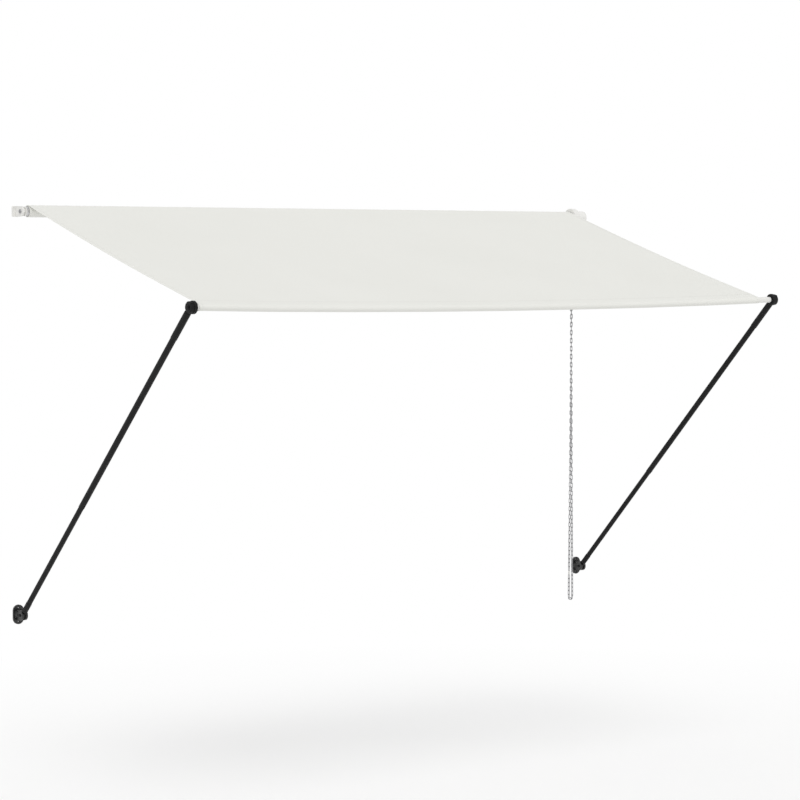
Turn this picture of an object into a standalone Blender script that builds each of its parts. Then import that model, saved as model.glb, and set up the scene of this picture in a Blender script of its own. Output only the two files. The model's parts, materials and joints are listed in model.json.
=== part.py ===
"""Drop-arm canvas awning: roller, chain drive, arms, front bar, cloth and wall feet.

Metres. +X runs along the wall to the right, -Y points out from the wall, +Z is up.
The origin is the centre of the left roller bracket's wall face, at roller height.
"""
import math

import bmesh
import bpy
from mathutils import Matrix, Vector

# Driving sizes
SPAN = 3.444            # between the planes of the left and right arms and brackets
DROP = 1.882            # roller axis down to the arm pivots
ARM = 2.055             # arm pivot to front bar axis
OPEN_DEG = 44.8         # arm angle from the vertical, cloth taut
PIVOT_Y = -0.045        # arm pivot in front of the wall
ROLL_Y = -0.055         # roller axis in front of the wall
SAG = 0.020             # the front bar's sag at mid-span
GAP = 0.0003            # between pieces that touch
RUN = 0.0001            # radial running clearance of a pin in its hole

# Roller, its left end measured from the left bracket's plane
TUBE_R = 0.0225
TUBE_WALL = 0.0015
TUBE_START = 0.022
CLOTH_T = 0.001
TURNS = 3
TURN_PITCH = CLOTH_T + GAP
CLOTH_LEFT = 0.034
ROLL_IN = TUBE_R + GAP
ROLL_OUT = ROLL_IN + TURNS * TURN_PITCH + CLOTH_T
IDLE_FLANGE = 0.004     # idle plug's flange outside the tube
DRIVE_FLANGE = 0.003
PLUG_DEPTH = 0.030      # plug's reach into its tube
SHAFT_STOP = 0.012      # drive shaft's tip from the right bracket's plane

# Brackets
PLATE_W = 0.036
BRACKET_H = 0.050
PLATE_T = 0.006
CHEEK_T = 0.006
CHEEK_OUT = 0.080
CHEEK_NOSE = 0.018
CHEEK_INSET = 0.001     # cheek's edges inside the plate's
PLATE_CORNER = 0.005
PIN_R = 0.006
SCREW_R = 0.0027
BRACKET_HOLE_X = 0.0105
BRACKET_HOLE_Z = 0.015
PIN_HEAD_R = 0.010
PIN_HEAD_T = 0.004
PIN_REACH = 0.045       # idle pin's tip from the left bracket's plane
SPACER_R = 0.0105

# Drive end, measured back from the right bracket's plane
DRUM_R = 0.032
WHEEL_X = 0.081
WHEEL_HALF = 0.0105
WHEEL_RIM = 0.0085      # rim beyond the chain's centre line
GROOVE_HALF = 0.0072
GROOVE_SLOPE = 0.0008
SLOT_HALF = 0.0026
SIDE_PLAY = 0.0035      # room beside the wheel and between tube, cover and cloth
DRUM_END = WHEEL_X - WHEEL_HALF - SIDE_PLAY
DRUM_FRONT = 0.0095     # solid end of the drum's bore from the bracket's plane
GUARD_R = 0.046
GUARD_WALL = 0.003
GUARD_START = -28.0     # degrees, open below for the chain
GUARD_STOP = 208.0
GUARD_END = WHEEL_X + WHEEL_HALF + 0.0015
COVER_T = 0.003
TUBE_END = GUARD_END + COVER_T + SIDE_PLAY
CLOTH_RIGHT = SPAN - TUBE_END - SIDE_PLAY

# Chain
CHAIN_PITCH = 0.0216
CHAIN_HALF_W = 0.0050
CHAIN_WIRE = 0.0018
CHAIN_R = 0.0310
CHAIN_BOTTOM = -2.058
CHAIN_TWIST_TOP = -0.12
CHAIN_NARROW = 0.0125
CONNECTOR_UP = 0.157    # barrel above the chain's lowest point
BARREL_R = 0.0045

# Arms, front bar and their ends
LOWER_R = 0.0125
UPPER_R = 0.0140
ARM_WALL = 0.0015
LOWER_START = 0.044
LOWER_END = 0.805
UPPER_START = 0.765
JOINT_SCREW = 0.785     # joint screw through the two tubes, from the pivot
UPPER_STOP = 0.036      # upper tube's end below the bar's axis
SLEEVE_R = 0.0136       # foot's sleeve round the lower tube
SLEEVE_END = 0.088
HEAD_SLEEVE_R = 0.0155  # head's sleeve round the upper tube
HEAD_SLEEVE = 0.190
EYE_R = 0.0265
EYE_OUT = 0.0140        # eye's outer face from the arm's plane
EYE_IN = 0.0025         # eye's inner face from the arm's plane
CAP_R = 0.029           # cap on the bar's end, against the eye
CAP_T = 0.0175
CAP_HUB = 0.003
NECK_R = 0.0112         # head's neck between its sleeve and its eye
TONGUE_HALF = 0.006
BOLT_R = 0.004
BOLT_HEAD_R = 0.0068
BOLT_HEAD_T = 0.0048
NUT_R = 0.0074          # nut's corners
NUT_T = 0.0065
BOLT_TIP = 0.010        # bolt's tip beyond the ear
WASHER_R = 0.0125
WASHER_T = 0.0016
BAR_R = 0.014
BAR_WALL = 0.0015
BAR_SEG = 18
SPIGOT_R = 0.008
HEM_R = BAR_R + 0.0007
SEAM_IN = 0.026         # sewn strip of the hem, measured back from the bar
SEAM_OUT = 0.045
ROLL_WRAP = 40          # degrees of the roll under the sheet's first stretch
HEM_WRAP = 292          # degrees of the bar inside the hem

# Wall feet
FOOT_H = 0.092
FOOT_W = 0.056
FOOT_T = 0.008
RING_R = 0.0235
RING_T = 0.0045
BOSS_R = 0.0215
BOSS_T = 0.0120
FOOT_HOLE_Z = 0.033
EAR_T = 0.009
EAR_R = 0.024
EAR_PLAY = 0.003        # arm foot's sleeve beyond the ears
TONGUE_R = 0.0185
TONGUE_W = 0.021


def clear_scene():
    for obj in list(bpy.data.objects):
        bpy.data.objects.remove(obj, do_unlink=True)


def make_material(name, colour, roughness, metallic):
    mat = bpy.data.materials.new(name)
    mat.use_nodes = True
    shader = mat.node_tree.nodes["Principled BSDF"]
    shader.inputs["Base Color"].default_value = (*colour, 1.0)
    shader.inputs["Roughness"].default_value = roughness
    shader.inputs["Metallic"].default_value = metallic
    return mat


LOOKS = {
    "white_paint": ((0.78, 0.77, 0.74), 0.45, 0.0),
    "white_plastic": ((0.80, 0.79, 0.76), 0.40, 0.0),
    "black_paint": ((0.014, 0.014, 0.0145), 0.55, 0.0),
    "black_plastic": ((0.012, 0.012, 0.0125), 0.50, 0.0),
    "zinc": ((0.42, 0.42, 0.42), 0.35, 1.0),
    "aluminium": ((0.62, 0.62, 0.63), 0.35, 1.0),
    "canvas": ((0.80, 0.80, 0.77), 0.90, 0.0),
}


def new_object(name, bm, look, parent=None, loc=(0, 0, 0), smooth=True):
    bmesh.ops.recalc_face_normals(bm, faces=bm.faces)
    mesh = bpy.data.meshes.new(name)
    bm.to_mesh(mesh)
    bm.free()
    obj = bpy.data.objects.new(name, mesh)
    bpy.context.collection.objects.link(obj)
    mesh.materials.append(make_material(name, *LOOKS[look]))
    if smooth:
        mesh.shade_smooth()
        mesh.set_sharp_from_angle(angle=math.radians(35))
    obj.parent = parent
    obj.location = loc
    return obj


def hide_tool(obj):
    obj.hide_render = True
    obj.display_type = "WIRE"


def boolean(target, tool, operation, solver="EXACT"):
    hide_tool(tool)
    mod = target.modifiers.new(operation.lower() + "_" + tool.name, "BOOLEAN")
    mod.operation = operation
    mod.object = tool
    mod.solver = solver


def axis_matrix(axis):
    """Turn a shape made along +X so that it runs along the named axis."""
    turns = {"X": Matrix.Identity(4)}
    turns["Y"] = Matrix.Rotation(math.radians(90), 4, "Z")
    turns["Z"] = Matrix.Rotation(math.radians(-90), 4, "Y")
    return turns[axis]


def lathe(profile, seg=32, closed=False, axis="X", phase=0.0):
    """Turn a profile of (position, radius) points; an open profile ends on the axis."""
    bm = bmesh.new()
    rings = []
    for pos, rad in profile:
        if rad < 1e-9:
            rings.append([bm.verts.new((pos, 0, 0))])
            continue
        ring = []
        for i in range(seg):
            a = 2 * math.pi * (i + phase) / seg
            ring.append(bm.verts.new((pos, rad * math.cos(a), rad * math.sin(a))))
        rings.append(ring)
    pairs = list(zip(rings, rings[1:]))
    if closed:
        pairs.append((rings[-1], rings[0]))
    for one, two in pairs:
        for i in range(seg):
            j = (i + 1) % seg
            if len(one) == 1:
                bm.faces.new((one[0], two[i], two[j]))
            elif len(two) == 1:
                bm.faces.new((one[i], one[j], two[0]))
            else:
                bm.faces.new((one[i], one[j], two[j], two[i]))
    bm.transform(axis_matrix(axis))
    return bm


def rod_profile(lo, hi, rad, chamfer=0.0):
    if chamfer <= 0:
        return [(lo, 0), (lo, rad), (hi, rad), (hi, 0)]
    return [(lo, 0), (lo, rad - chamfer), (lo + chamfer, rad), (hi - chamfer, rad),
            (hi, rad - chamfer), (hi, 0)]


def tube_profile(lo, hi, outer, inner):
    return [(lo, inner), (lo, outer), (hi, outer), (hi, inner)]


def extrude(outline, lo, hi, plane):
    """Prism of a closed outline. plane XZ runs along Y, YZ along X and XY along Z."""
    def point(u, v, w):
        if plane == "XZ":
            return (u, w, v)
        if plane == "YZ":
            return (w, u, v)
        return (u, v, w)
    bm = bmesh.new()
    low = [bm.verts.new(point(u, v, lo)) for u, v in outline]
    high = [bm.verts.new(point(u, v, hi)) for u, v in outline]
    n = len(outline)
    for i in range(n):
        j = (i + 1) % n
        bm.faces.new((low[i], low[j], high[j], high[i]))
    bm.faces.new(low)
    bm.faces.new(high)
    return bm


def arc(cx, cy, rad, start, end, steps):
    out = []
    for i in range(steps + 1):
        a = math.radians(start + (end - start) * i / steps)
        out.append((cx + rad * math.cos(a), cy + rad * math.sin(a)))
    return out


def rounded_box(w, h, rad, steps=4):
    pts = []
    pts += arc(w / 2 - rad, h / 2 - rad, rad, 0, 90, steps)
    pts += arc(-w / 2 + rad, h / 2 - rad, rad, 90, 180, steps)
    pts += arc(-w / 2 + rad, -h / 2 + rad, rad, 180, 270, steps)
    pts += arc(w / 2 - rad, -h / 2 + rad, rad, 270, 360, steps)
    return pts


def ribbon(path, half):
    """Offset a path to both sides and return the closed outline of the ribbon."""
    left = []
    right = []
    for i, p in enumerate(path):
        before = path[max(i - 1, 0)]
        after = path[min(i + 1, len(path) - 1)]
        a = (Vector(p) - Vector(before))
        b = (Vector(after) - Vector(p))
        if a.length < 1e-9:
            a = b
        if b.length < 1e-9:
            b = a
        a = a.normalized()
        b = b.normalized()
        t = (a + b).normalized()
        n = Vector((-t.y, t.x))
        k = half / max(n.dot(Vector((-a.y, a.x))), 0.5)
        left.append((p[0] + n.x * k, p[1] + n.y * k))
        right.append((p[0] - n.x * k, p[1] - n.y * k))
    return left, right


def loft(stations):
    """Close a body over stations (x, left points, right points) of a ribbon section.

    Both skins are split along the same diagonals, so a thin sheet keeps its thickness.
    """
    bm = bmesh.new()
    sheets = []
    for x, left, right in stations:
        sheets.append(([bm.verts.new((x, u, v)) for u, v in left],
                       [bm.verts.new((x, u, v)) for u, v in right]))
    m = len(sheets[0][0])
    for one, two in zip(sheets, sheets[1:]):
        for side in (0, 1):
            for i in range(m - 1):
                a, b, c, d = one[side][i], one[side][i + 1], two[side][i + 1], two[side][i]
                bm.faces.new((a, b, c) if side == 0 else (a, c, b))
                bm.faces.new((a, c, d) if side == 0 else (a, d, c))
        for i, turned in ((0, True), (m - 1, False)):
            a, b, c, d = one[0][i], one[1][i], two[1][i], two[0][i]
            bm.faces.new((a, d, c, b) if turned else (a, b, c, d))
    for k, turned in ((0, False), (len(sheets) - 1, True)):
        left, right = sheets[k]
        for i in range(m - 1):
            a, b, c, d = left[i], right[i], right[i + 1], left[i + 1]
            bm.faces.new((a, d, c, b) if turned else (a, b, c, d))
    return bm


def sag_at(x):
    u = min(max(x / SPAN, 0.0), 1.0)
    return SAG * 4 * u * (1 - u)


def make_bracket(side, x):
    """Wall plate with a cheek that carries the roller's end."""
    name = "roller_bracket_" + side
    plate = rounded_box(PLATE_W, BRACKET_H, PLATE_CORNER)
    obj = new_object(name, extrude(plate, -PLATE_T, 0, "XZ"), "white_paint", None, (x, 0, 0))
    half = BRACKET_H / 2 - CHEEK_INSET
    tip = -CHEEK_OUT + CHEEK_NOSE
    cheek = [(-PLATE_T / 3, -half), (tip, -half)]
    cheek += arc(tip, -half + CHEEK_NOSE, CHEEK_NOSE, 270, 180, 5)[1:]
    cheek += arc(tip, half - CHEEK_NOSE, CHEEK_NOSE, 180, 90, 5)
    cheek += [(-PLATE_T / 3, half)]
    tool = new_object(name + "_cheek", extrude(cheek, -CHEEK_T / 2, CHEEK_T / 2, "YZ"),
                      "white_paint", None, (x, 0, 0))
    boolean(obj, tool, "UNION")
    hole = new_object(name + "_pin_hole", lathe(rod_profile(-0.02, 0.02, PIN_R + RUN), 24),
                      "zinc", None, (x, ROLL_Y, 0))
    boolean(obj, hole, "DIFFERENCE")
    spots = ((-BRACKET_HOLE_X, BRACKET_HOLE_Z), (BRACKET_HOLE_X, -BRACKET_HOLE_Z))
    for i, (dx, dz) in enumerate(spots):
        hole = new_object(name + "_screw_hole_" + str(i),
                          lathe(rod_profile(-0.02, 0.02, SCREW_R), 12, axis="Y"),
                          "zinc", None, (x + dx, 0, dz))
        boolean(obj, hole, "DIFFERENCE")
    return obj


def make_roller(empty):
    """Tube with its wound cloth and end plugs. Local X runs from the left bracket plane."""
    tube_lo = TUBE_START
    tube_hi = SPAN - TUBE_END
    new_object("roller_tube", lathe(tube_profile(tube_lo, tube_hi, TUBE_R, TUBE_R - TUBE_WALL), 24,
                                    closed=True), "aluminium", empty)
    path = []
    steps = TURNS * 24
    for i in range(steps + 1):
        a = math.radians(90 + 15 + 360.0 * i / 24)
        rad = ROLL_IN + CLOTH_T / 2 + TURN_PITCH * i / 24
        path.append((rad * math.cos(a), rad * math.sin(a)))
    left, right = ribbon(path, CLOTH_T / 2)
    stations = [(CLOTH_LEFT, left, right), (CLOTH_RIGHT, left, right)]
    new_object("cloth_roll", loft(stations), "canvas", empty)

    plug_in = TUBE_R - TUBE_WALL - RUN
    bore = PIN_R + RUN
    flange = tube_lo - GAP
    outer = flange - IDLE_FLANGE
    profile = [(outer, bore), (outer, TUBE_R), (flange, TUBE_R), (flange, plug_in),
               (flange + PLUG_DEPTH, plug_in), (flange + PLUG_DEPTH, bore)]
    new_object("idle_plug", lathe(profile, 24, closed=True), "white_plastic", empty)

    flange = tube_hi + GAP
    outer = flange + DRIVE_FLANGE
    tip = SPAN - SHAFT_STOP
    profile = [(flange - PLUG_DEPTH, 0), (flange - PLUG_DEPTH, plug_in), (flange, plug_in),
               (flange, TUBE_R), (outer, TUBE_R), (outer, PIN_R),
               (tip - 0.001, PIN_R), (tip, PIN_R - 0.001), (tip, 0)]
    new_object("drive_plug", lathe(profile, 24), "zinc", empty)

    mid = SPAN - WHEEL_X
    inner = PIN_R + RUN
    deep = CHAIN_R - CHAIN_HALF_W - CHAIN_WIRE / 2 - GAP
    seat = CHAIN_R - CHAIN_WIRE * math.sin(math.radians(60)) - GAP
    rim = CHAIN_R + WHEEL_RIM
    profile = [(mid - WHEEL_HALF, inner), (mid - WHEEL_HALF, rim), (mid - GROOVE_HALF - GROOVE_SLOPE, rim),
               (mid - GROOVE_HALF, seat), (mid - SLOT_HALF, seat), (mid - SLOT_HALF, deep),
               (mid + SLOT_HALF, deep), (mid + SLOT_HALF, seat), (mid + GROOVE_HALF, seat),
               (mid + GROOVE_HALF + GROOVE_SLOPE, rim), (mid + WHEEL_HALF, rim), (mid + WHEEL_HALF, inner)]
    new_object("chain_wheel", lathe(profile, 24, closed=True), "white_plastic", empty)


def make_roller_ends():
    """Fixed pieces: the idle pin with its nut, and the drive's drum, guard and cover."""
    face = -CHEEK_T / 2 - GAP
    profile = [(face - PIN_HEAD_T, 0), (face - PIN_HEAD_T, PIN_HEAD_R - 0.001), (face, PIN_HEAD_R),
               (face, PIN_R), (PIN_REACH - 0.001, PIN_R), (PIN_REACH, PIN_R - 0.001), (PIN_REACH, 0)]
    new_object("idle_pin", lathe(profile, 24), "zinc", None, (0, ROLL_Y, 0))
    lo = CHEEK_T / 2 + GAP
    hi = TUBE_START - GAP - IDLE_FLANGE - GAP
    new_object("idle_spacer", lathe(tube_profile(lo, hi, SPACER_R, PIN_R + RUN), 24, closed=True),
               "white_plastic", None, (0, ROLL_Y, 0))

    bore = PIN_R + RUN
    profile = [(-DRUM_FRONT, 0.0), (-DRUM_FRONT, bore), (-DRUM_END, bore), (-DRUM_END, DRUM_R - 0.002),
               (-DRUM_END + 0.002, DRUM_R), (face, DRUM_R), (face, PIN_R),
               (face + CHEEK_T + 0.003, PIN_R), (face + CHEEK_T + 0.003, 0)]
    new_object("drive_drum", lathe(profile, 24), "white_plastic", None, (SPAN, ROLL_Y, 0))

    # The guard wraps the wheel from above and stays open below, where the chain leaves
    outer = arc(0, 0, GUARD_R, GUARD_START, GUARD_STOP, 18)
    inner = arc(0, 0, GUARD_R - GUARD_WALL, GUARD_STOP, GUARD_START, 18)
    new_object("chain_guard", extrude(outer + inner, -GUARD_END, -DRUM_END + 0.004, "YZ"),
               "white_plastic", None, (SPAN, ROLL_Y, 0))
    web = new_object("chain_guard_web",
                     lathe(tube_profile(-DRUM_END + 0.0005, -DRUM_END + 0.0038, GUARD_R - 0.0002,
                                        DRUM_R + 0.0006), 24, closed=True),
                     "white_plastic", None, (SPAN, ROLL_Y, 0))
    boolean(bpy.data.objects["chain_guard"], web, "UNION")

    lo = -GUARD_END - GAP - COVER_T
    hi = -GUARD_END - GAP
    profile = [(lo, TUBE_R + 0.001), (lo, GUARD_R - 0.001), (lo + 0.001, GUARD_R), (hi, GUARD_R),
               (hi, TUBE_R + 0.001)]
    new_object("drive_cover", lathe(profile, 24, closed=True), "white_plastic", None,
               (SPAN, ROLL_Y, 0))


def chain_path():
    """Dense centre line of the endless chain, with the loop plane's normal at each point."""
    cx = SPAN - WHEEL_X
    vertex_r = math.hypot(CHAIN_R, CHAIN_PITCH / 2)
    low = CHAIN_BOTTOM + CHAIN_NARROW

    def offset(z):
        u = min(max((z - low) / (0.0 - low), 0.0), 1.0)
        half = CHAIN_NARROW + (vertex_r - CHAIN_NARROW) * u ** 6
        v = min(max((CHAIN_TWIST_TOP - z) / (CHAIN_TWIST_TOP - low), 0.0), 1.0)
        turn = math.radians(90) * (0.40 * min(v * 5, 1.0) + 0.60 * v * v)
        return half, turn

    pts = []
    arc_steps = 120
    for i in range(arc_steps + 1):
        a = math.pi * i / arc_steps
        pts.append(((cx, ROLL_Y - vertex_r * math.cos(a), vertex_r * math.sin(a)), 0.0))
    steps = 900
    for i in range(1, steps + 1):
        z = low * i / steps
        half, turn = offset(z)
        pts.append(((cx + half * math.sin(turn), ROLL_Y + half * math.cos(turn), z), turn))
    for i in range(1, 40):
        a = math.pi * i / 40
        x = CHAIN_NARROW * math.cos(a)
        pts.append(((cx + x, ROLL_Y, low - CHAIN_NARROW * math.sin(a)), math.radians(90)))
    for i in range(steps, 0, -1):
        z = low * i / steps
        half, turn = offset(z)
        pts.append(((cx - half * math.sin(turn), ROLL_Y - half * math.cos(turn), z), turn))
    return pts


def chain_joints():
    """Evenly spaced link joints round the loop, an even number of them."""
    pts = chain_path()
    dense = [Vector(p) for p, turn in pts]
    turns = [turn for p, turn in pts]
    dense.append(dense[0])
    turns.append(turns[0])
    length = [0.0]
    for a, b in zip(dense, dense[1:]):
        length.append(length[-1] + (b - a).length)
    count = 2 * round(length[-1] / CHAIN_PITCH / 2)
    out = []
    k = 0
    for i in range(count):
        want = length[-1] * i / count
        while length[k + 1] < want:
            k += 1
        f = (want - length[k]) / (length[k + 1] - length[k])
        turn = turns[k] + (turns[k + 1] - turns[k]) * f
        out.append((dense[k].lerp(dense[k + 1], f), turn))
    return out


def link_frame(start, end, plane, even):
    """Direction, width direction and opening direction of a link."""
    along = (end - start).normalized()
    plane = (plane - along * plane.dot(along)).normalized()
    turned = plane.cross(along)
    if even:
        return along, turned, plane
    return along, -plane, turned


def add_link(bm, first, last, mid, half, frame, even):
    """Closed link between the four corners it shares with each of its neighbours."""
    along, across, normal = frame
    wire = CHAIN_WIRE
    edge = wire * math.sin(math.radians(60))

    def corner(joint, sv, sn):
        return joint[(sn, sv)] if even else joint[(-sv, sn)]

    def at(u, v, n):
        return bm.verts.new(mid + along * u + across * v + normal * n)

    tip = half - 1.5 * wire
    rings = []
    for joint, end, sides in ((last, 1, (1, -1)), (first, -1, (-1, 1))):
        for sv in sides:
            inner = at(end * tip, sv * edge * 0.4, 0)
            rings.append((corner(joint, sv, 1), corner(joint, sv, -1), inner))
        sv = sides[1]
        wide = CHAIN_HALF_W + wire / 2
        rings.append((at(0, sv * wide, edge), at(0, sv * wide, -edge),
                      at(0, sv * (CHAIN_HALF_W - wire), 0)))
    for i in range(6):
        one = rings[i]
        two = rings[(i + 1) % 6]
        for j in range(3):
            k = (j + 1) % 3
            if j == 0 and i in (0, 3):
                continue
            bm.faces.new((one[j], one[k], two[k], two[j]))


def make_chain():
    """All links as one body, each joined to the next, and the barrel that closes the loop."""
    joints = chain_joints()
    count = len(joints)
    edge = CHAIN_WIRE * math.sin(math.radians(60))
    bm = bmesh.new()
    corners = []
    for i in range(count):
        here, turn = joints[i]
        before = joints[i - 1][0]
        after = joints[(i + 1) % count][0]
        along = (after - before).normalized()
        plane = Vector((math.cos(turn), -math.sin(turn), 0.0))
        plane = (plane - along * plane.dot(along)).normalized()
        turned = plane.cross(along)
        square = {}
        for s1 in (1, -1):
            for s2 in (1, -1):
                square[(s1, s2)] = bm.verts.new(here + (plane * s1 + turned * s2) * edge)
        corners.append(square)
    spans = [(joints[i][0], joints[(i + 1) % count][0]) for i in range(count)]
    want = CHAIN_BOTTOM + CONNECTOR_UP

    def away(i):
        mid = (spans[i][0] + spans[i][1]) / 2
        return abs(mid.z - want) + (0.0 if mid.x < SPAN - WHEEL_X else 10.0)

    gap_at = min(range(count), key=away)
    for i in range(count):
        start, turn = joints[i]
        end, turn_end = joints[(i + 1) % count]
        mid = (start + end) / 2
        turn = (turn + turn_end) / 2
        if i == gap_at:
            for square in (corners[i], corners[(i + 1) % count]):
                loop = [square[k] for k in ((1, 1), (1, -1), (-1, -1), (-1, 1))]
                bm.faces.new(loop)
            continue
        plane = Vector((math.cos(turn), -math.sin(turn), 0.0))
        even = i % 2 == 0
        frame = link_frame(start, end, plane, even)
        half = (end - start).length / 2
        add_link(bm, corners[i], corners[(i + 1) % count], mid, half, frame, even)
    new_object("chain_loop", bm, "zinc", smooth=False)
    start, end = spans[gap_at]
    half = (end - start).length / 2 - GAP
    bm = lathe([(-half, 0), (-half, BARREL_R - 0.0012), (-half + 0.0015, BARREL_R),
                (half - 0.0015, BARREL_R), (half, BARREL_R - 0.0012), (half, 0)], 16)
    obj = new_object("chain_connector", bm, "white_plastic", None, (start + end) / 2)
    obj.rotation_mode = "QUATERNION"
    obj.rotation_quaternion = (end - start).to_track_quat("X", "Z")


def make_foot(side, x):
    """Oval wall plate with a ring boss and two ears round the arm's tongue."""
    name = "wall_foot_" + side
    straight = (FOOT_H - FOOT_W) / 2
    oval = arc(0, straight, FOOT_W / 2, 0, 180, 11)
    oval += arc(0, -straight, FOOT_W / 2, 180, 360, 11)
    obj = new_object(name, extrude(oval, -FOOT_T, 0, "XZ"), "black_paint", None, (x, 0, -DROP))
    ring = -FOOT_T - RING_T
    front = ring - BOSS_T
    profile = [(front, 0), (front, BOSS_R - 0.005), (front + 0.003, BOSS_R - 0.002), (ring, BOSS_R),
               (ring, RING_R - 0.0015), (ring + 0.0015, RING_R), (-FOOT_T + 0.001, RING_R),
               (-FOOT_T + 0.001, 0)]
    boss = new_object(name + "_boss", lathe(profile, 24, axis="Y"), "black_paint", None,
                      (x, 0, -DROP))
    boolean(obj, boss, "UNION")
    inner = TONGUE_HALF + GAP
    for i, sign in enumerate((-1, 1)):
        ear = [(-FOOT_T + 0.002, -EAR_R), (PIVOT_Y, -EAR_R)]
        ear += arc(PIVOT_Y, 0, EAR_R, 270, 90, 8)[1:-1]
        ear += [(PIVOT_Y, EAR_R), (-FOOT_T + 0.002, EAR_R)]
        lo, hi = sorted((sign * inner, sign * (inner + EAR_T)))
        tool = new_object(name + "_ear_" + str(i), extrude(ear, lo, hi, "YZ"), "black_paint", None,
                          (x, 0, -DROP))
        boolean(obj, tool, "UNION")
    hole = new_object(name + "_bolt_hole", lathe(rod_profile(-0.03, 0.03, BOLT_R + RUN), 24),
                      "zinc", None, (x, PIVOT_Y, -DROP))
    boolean(obj, hole, "DIFFERENCE")
    for i, dz in enumerate((-FOOT_HOLE_Z, FOOT_HOLE_Z)):
        profile = [(-0.02, 0), (-0.02, SCREW_R * 2), (-FOOT_T, SCREW_R * 2),
                   (-FOOT_T + SCREW_R, SCREW_R), (0.02, SCREW_R), (0.02, 0)]
        hole = new_object(name + "_screw_hole_" + str(i), lathe(profile, 14, axis="Y"),
                          "zinc", None, (x, 0, -DROP + dz))
        boolean(obj, hole, "DIFFERENCE")
    outside = inner + EAR_T + GAP
    head = -outside - BOLT_HEAD_T
    tip = outside + BOLT_TIP
    profile = [(head, 0), (head, BOLT_HEAD_R - 0.0013), (head + 0.0013, BOLT_HEAD_R),
               (-outside, BOLT_HEAD_R), (-outside, BOLT_R), (tip, BOLT_R), (tip, 0)]
    new_object("foot_bolt_" + side, lathe(profile, 18), "black_paint", None, (x, PIVOT_Y, -DROP))
    new_object("foot_nut_" + side, hex_ring(outside, outside + NUT_T, NUT_R, BOLT_R + RUN, 24),
               "black_paint", None, (x, PIVOT_Y, -DROP), smooth=False)
    return obj


def hex_ring(lo, hi, corner, bore, seg):
    """Hexagon nut along X: six flats outside and a round bore."""
    bm = bmesh.new()
    rings = []
    for pos, outer in ((lo, False), (lo, True), (hi, True), (hi, False)):
        ring = []
        for i in range(seg):
            a = 2 * math.pi * i / seg
            rad = bore
            if outer:
                part = (a % (math.pi / 3)) - math.pi / 6
                rad = corner * math.cos(math.pi / 6) / math.cos(part)
            ring.append(bm.verts.new((pos, rad * math.cos(a), rad * math.sin(a))))
        rings.append(ring)
    for k in range(4):
        one = rings[k]
        two = rings[(k + 1) % 4]
        for i in range(seg):
            j = (i + 1) % seg
            bm.faces.new((one[i], one[j], two[j], two[i]))
    return bm


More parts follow.
